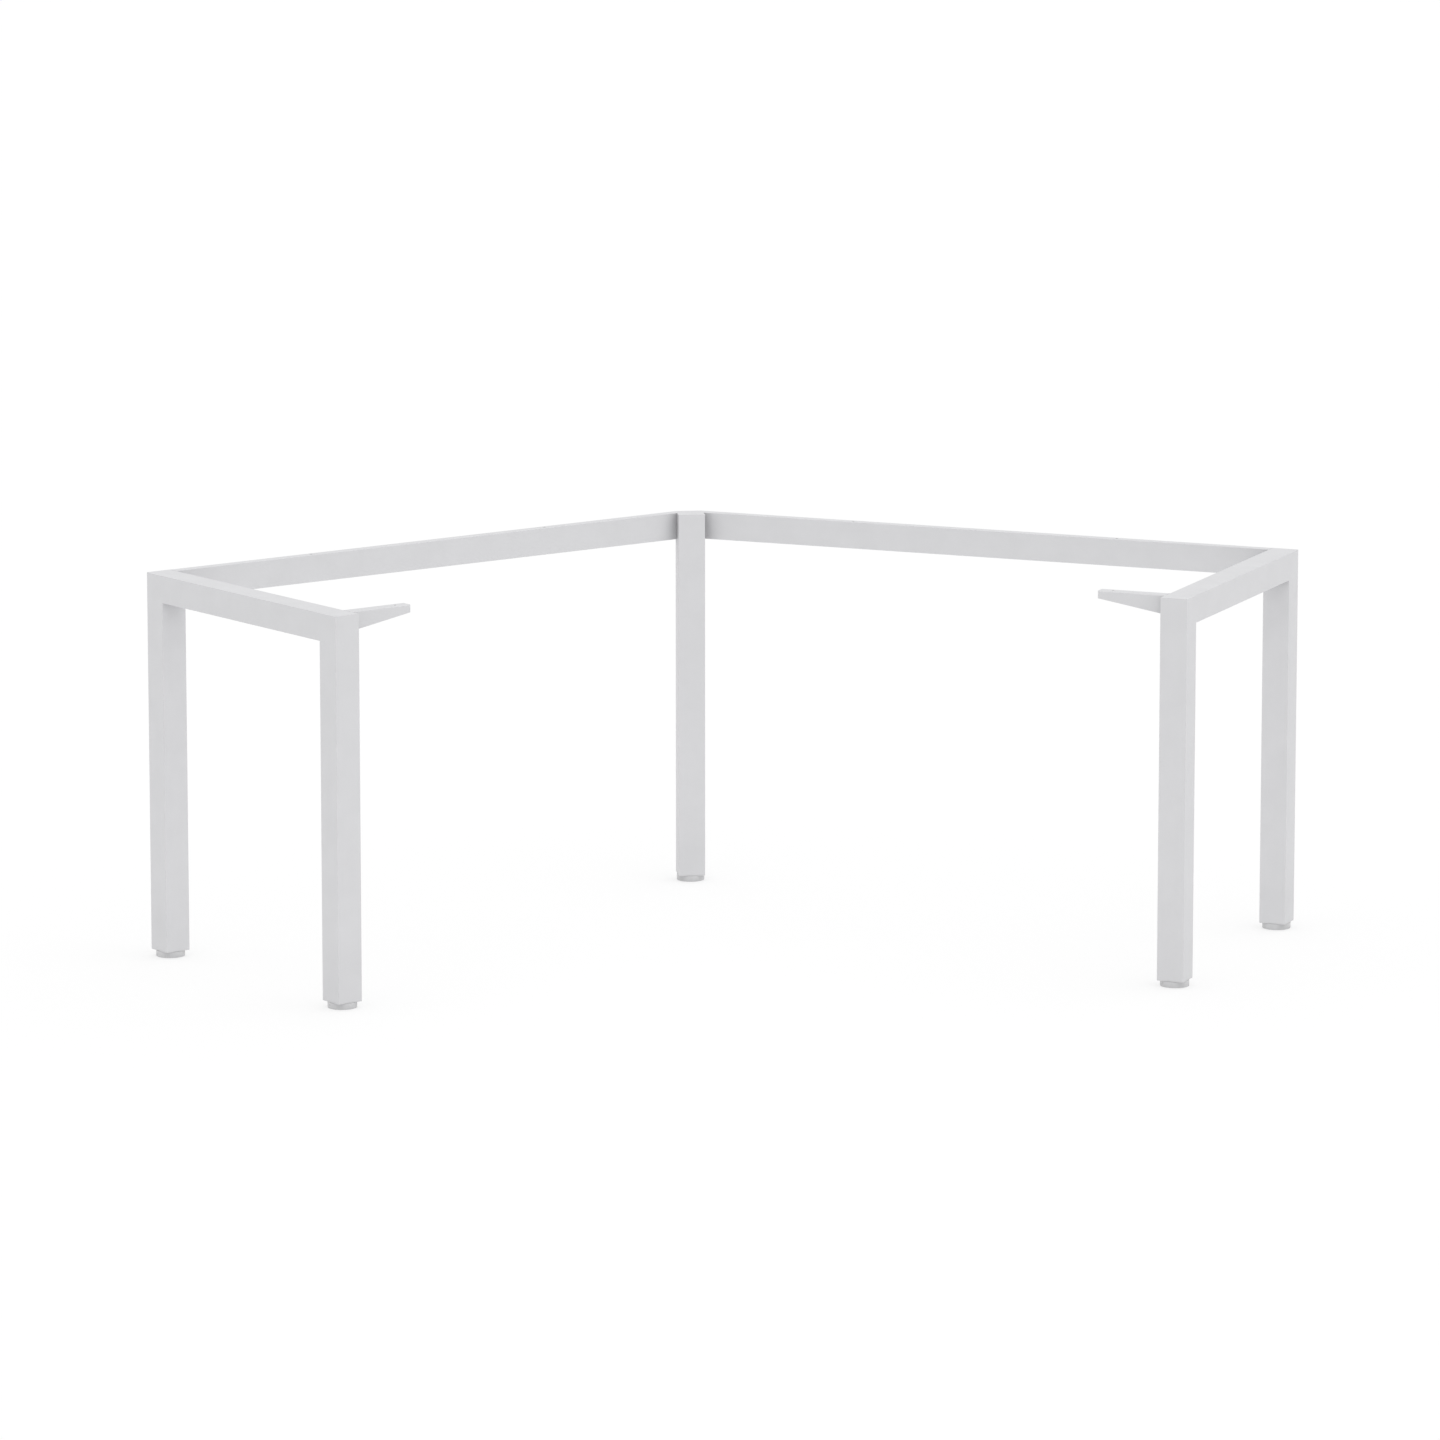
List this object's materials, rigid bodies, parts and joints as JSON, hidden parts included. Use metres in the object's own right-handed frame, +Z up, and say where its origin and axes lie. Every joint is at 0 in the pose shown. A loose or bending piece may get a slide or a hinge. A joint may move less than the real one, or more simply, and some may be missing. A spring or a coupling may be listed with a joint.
{
  "type": "desk frame",
  "caption": "Corner desk frame of painted square tube: mitred end frames, a corner post, flat back beams, tapered support arms and round levelling feet.",
  "frame": {"origin": "the corner post's axis on the floor", "axes": "+Z up, +Y to the wall behind the corner, -Y to the sitter, +X to the sitter's right"},
  "size_m": [2.1032, 1.1132, 0.703],
  "materials": {
    "frame_paint": "light grey powder coat, fine satin texture",
    "pad_plastic": "moulded, matt",
    "plug_plastic": "moulded, matt",
    "sole_rubber": "matt",
    "plated_steel": "zinc plated"
  },
  "bodies": {
    "frame": {"left_rear_leg": "frame_paint", "left_front_leg": "frame_paint", "left_top_rail": "frame_paint", "left_back_beam": "frame_paint", "left_support_arm": "frame_paint", "right_rear_leg": "frame_paint", "right_front_leg": "frame_paint", "right_top_rail": "frame_paint", "right_back_beam": "frame_paint", "right_support_arm": "frame_paint", "corner_post": "frame_paint", "corner_post_cap": "frame_paint", "left_corner_spigot": "frame_paint", "left_end_spigot": "frame_paint", "right_corner_spigot": "frame_paint", "right_end_spigot": "frame_paint", "corner_leg_plug": "plug_plastic", "left_rear_leg_plug": "plug_plastic", "right_rear_leg_plug": "plug_plastic", "left_front_leg_plug": "plug_plastic", "right_front_leg_plug": "plug_plastic", "captive_nuts": "plated_steel", "beam_lock_screws": "plated_steel"},
    "corner_foot": {"corner_foot_pad": "pad_plastic", "corner_foot_sole": "sole_rubber"},
    "corner_stem": {"corner_foot_stem": "plated_steel"},
    "left_rear_foot": {"left_rear_foot_pad": "pad_plastic", "left_rear_foot_sole": "sole_rubber"},
    "left_rear_stem": {"left_rear_foot_stem": "plated_steel"},
    "right_rear_foot": {"right_rear_foot_pad": "pad_plastic", "right_rear_foot_sole": "sole_rubber"},
    "right_rear_stem": {"right_rear_foot_stem": "plated_steel"},
    "left_front_foot": {"left_front_foot_pad": "pad_plastic", "left_front_foot_sole": "sole_rubber"},
    "left_front_stem": {"left_front_foot_stem": "plated_steel"},
    "right_front_foot": {"right_front_foot_pad": "pad_plastic", "right_front_foot_sole": "sole_rubber"},
    "right_front_stem": {"right_front_foot_stem": "plated_steel"}
  },
  "joints": [
    {"name": "corner_foot_height", "type": "slide", "parent": "frame", "child": "corner_foot", "axis": [0, 0, -1], "range_m": [0, 0.02]},
    {"name": "corner_stem_turn", "type": "hinge", "parent": "corner_foot", "child": "corner_stem", "pos_m": [0, 0, 0], "axis": [0, 0, -1], "range_deg": [0, 4800]},
    {"name": "left_rear_foot_height", "type": "slide", "parent": "frame", "child": "left_rear_foot", "axis": [0, 0, -1], "range_m": [0, 0.02]},
    {"name": "left_rear_stem_turn", "type": "hinge", "parent": "left_rear_foot", "child": "left_rear_stem", "pos_m": [-1.01782, -0.57708, 0], "axis": [0, 0, -1], "range_deg": [0, 4800]},
    {"name": "right_rear_foot_height", "type": "slide", "parent": "frame", "child": "right_rear_foot", "axis": [0, 0, -1], "range_m": [0, 0.02]},
    {"name": "right_rear_stem_turn", "type": "hinge", "parent": "right_rear_foot", "child": "right_rear_stem", "pos_m": [1.01782, -0.57708, 0], "axis": [0, 0, -1], "range_deg": [0, 4800]},
    {"name": "left_front_foot_height", "type": "slide", "parent": "frame", "child": "left_front_foot", "axis": [0, 0, -1], "range_m": [0, 0.02]},
    {"name": "left_front_stem_turn", "type": "hinge", "parent": "left_front_foot", "child": "left_front_stem", "pos_m": [-0.74282, -1.05339, 0], "axis": [0, 0, -1], "range_deg": [0, 4800]},
    {"name": "right_front_foot_height", "type": "slide", "parent": "frame", "child": "right_front_foot", "axis": [0, 0, -1], "range_m": [0, 0.02]},
    {"name": "right_front_stem_turn", "type": "hinge", "parent": "right_front_foot", "child": "right_front_stem", "pos_m": [0.74282, -1.05339, 0], "axis": [0, 0, -1], "range_deg": [0, 4800]}
  ],
  "couplings": [
    {"joint": "corner_stem_turn", "follows": "corner_foot_height", "rad_per_m": 4188.8},
    {"joint": "left_rear_stem_turn", "follows": "left_rear_foot_height", "rad_per_m": 4188.8},
    {"joint": "right_rear_stem_turn", "follows": "right_rear_foot_height", "rad_per_m": 4188.8},
    {"joint": "left_front_stem_turn", "follows": "left_front_foot_height", "rad_per_m": 4188.8},
    {"joint": "right_front_stem_turn", "follows": "right_front_foot_height", "rad_per_m": 4188.8}
  ]
}
